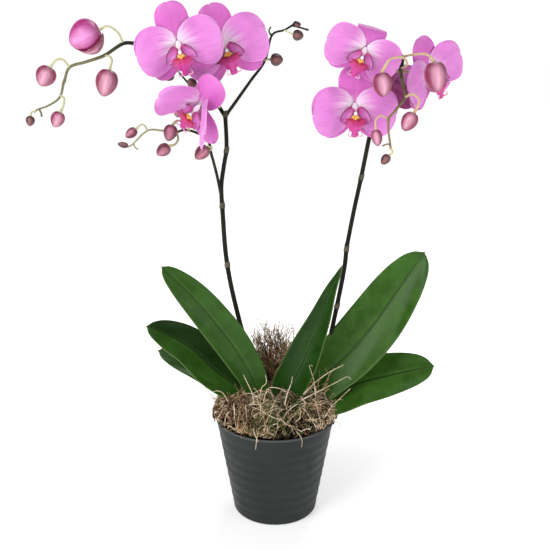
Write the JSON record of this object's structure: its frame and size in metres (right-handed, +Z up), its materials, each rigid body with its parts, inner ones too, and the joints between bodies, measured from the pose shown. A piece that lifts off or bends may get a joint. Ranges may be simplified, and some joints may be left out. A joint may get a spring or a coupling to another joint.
{
  "type": "potted orchid",
  "caption": "Potted moth orchid: broad leaves, two branching spikes with pink flowers and buds, moss mulch, and a ribbed tapered cover pot that stands on its flat base.",
  "frame": {"origin": "centre of the pot's flat base, where it meets the surface that it stands on", "axes": "+Z up the plant, -Y towards the front that the flowers face, +X to the right as seen from the front"},
  "size_m": [0.4295, 0.1368, 0.5417],
  "materials": {
    "pot": "matte",
    "growing_medium": "rough bark and roots",
    "crown": "satin, plant tissue",
    "moss": "dry curly strands",
    "moss_tuft": "dry curly strands, reddish brown",
    "leaf": "glossy leaf skin",
    "spike": "satin, woody green stem",
    "petal": "soft satin petal",
    "sepal": "soft satin sepal",
    "lip": "satin",
    "bud": "satin bud skin",
    "bud_small": "satin bud skin"
  },
  "bodies": {
    "root": {"pot": "pot", "growing_medium": "growing_medium", "crown": "crown", "moss_mulch": "moss", "moss_tuft": "moss_tuft", "leaf_left_upper": "leaf", "leaf_left_middle": "leaf", "leaf_left_lower": "leaf", "leaf_right_inner": "leaf", "leaf_right_large": "leaf", "leaf_right_lower": "leaf", "spike_left": "spike", "spike_right": "spike", "flower_a_sepals": "sepal", "flower_a_petal_left": "petal", "flower_a_petal_right": "petal", "flower_a_lip": "lip", "flower_b_sepals": "sepal", "flower_b_petal_left": "petal", "flower_b_petal_right": "petal", "flower_b_lip": "lip", "flower_c_sepals": "sepal", "flower_c_petal_left": "petal", "flower_c_petal_right": "petal", "flower_c_lip": "lip", "flower_d_sepals": "sepal", "flower_d_petal_left": "petal", "flower_d_petal_right": "petal", "flower_d_lip": "lip", "flower_e_sepals": "sepal", "flower_e_petal_left": "petal", "flower_e_petal_right": "petal", "flower_e_lip": "lip", "flower_f_sepals": "sepal", "flower_f_petal_left": "petal", "flower_f_petal_right": "petal", "flower_f_lip": "lip", "flower_g_sepals": "sepal", "flower_g_petal_left": "petal", "flower_g_petal_right": "petal", "flower_g_lip": "lip", "bud_left_01": "bud", "bud_left_02": "bud", "bud_left_03": "bud", "bud_left_04": "bud", "bud_left_05": "bud", "bud_left_06": "bud_small", "bud_left_07": "bud_small", "bud_left_08": "bud", "bud_left_09": "bud", "bud_left_10": "bud", "bud_left_11": "bud", "bud_left_12": "bud", "bud_left_13": "bud_small", "bud_left_14": "bud_small", "bud_right_01": "bud", "bud_right_02": "bud", "bud_right_03": "bud", "bud_right_04": "bud", "bud_right_05": "bud_small"}
  },
  "joints": []
}
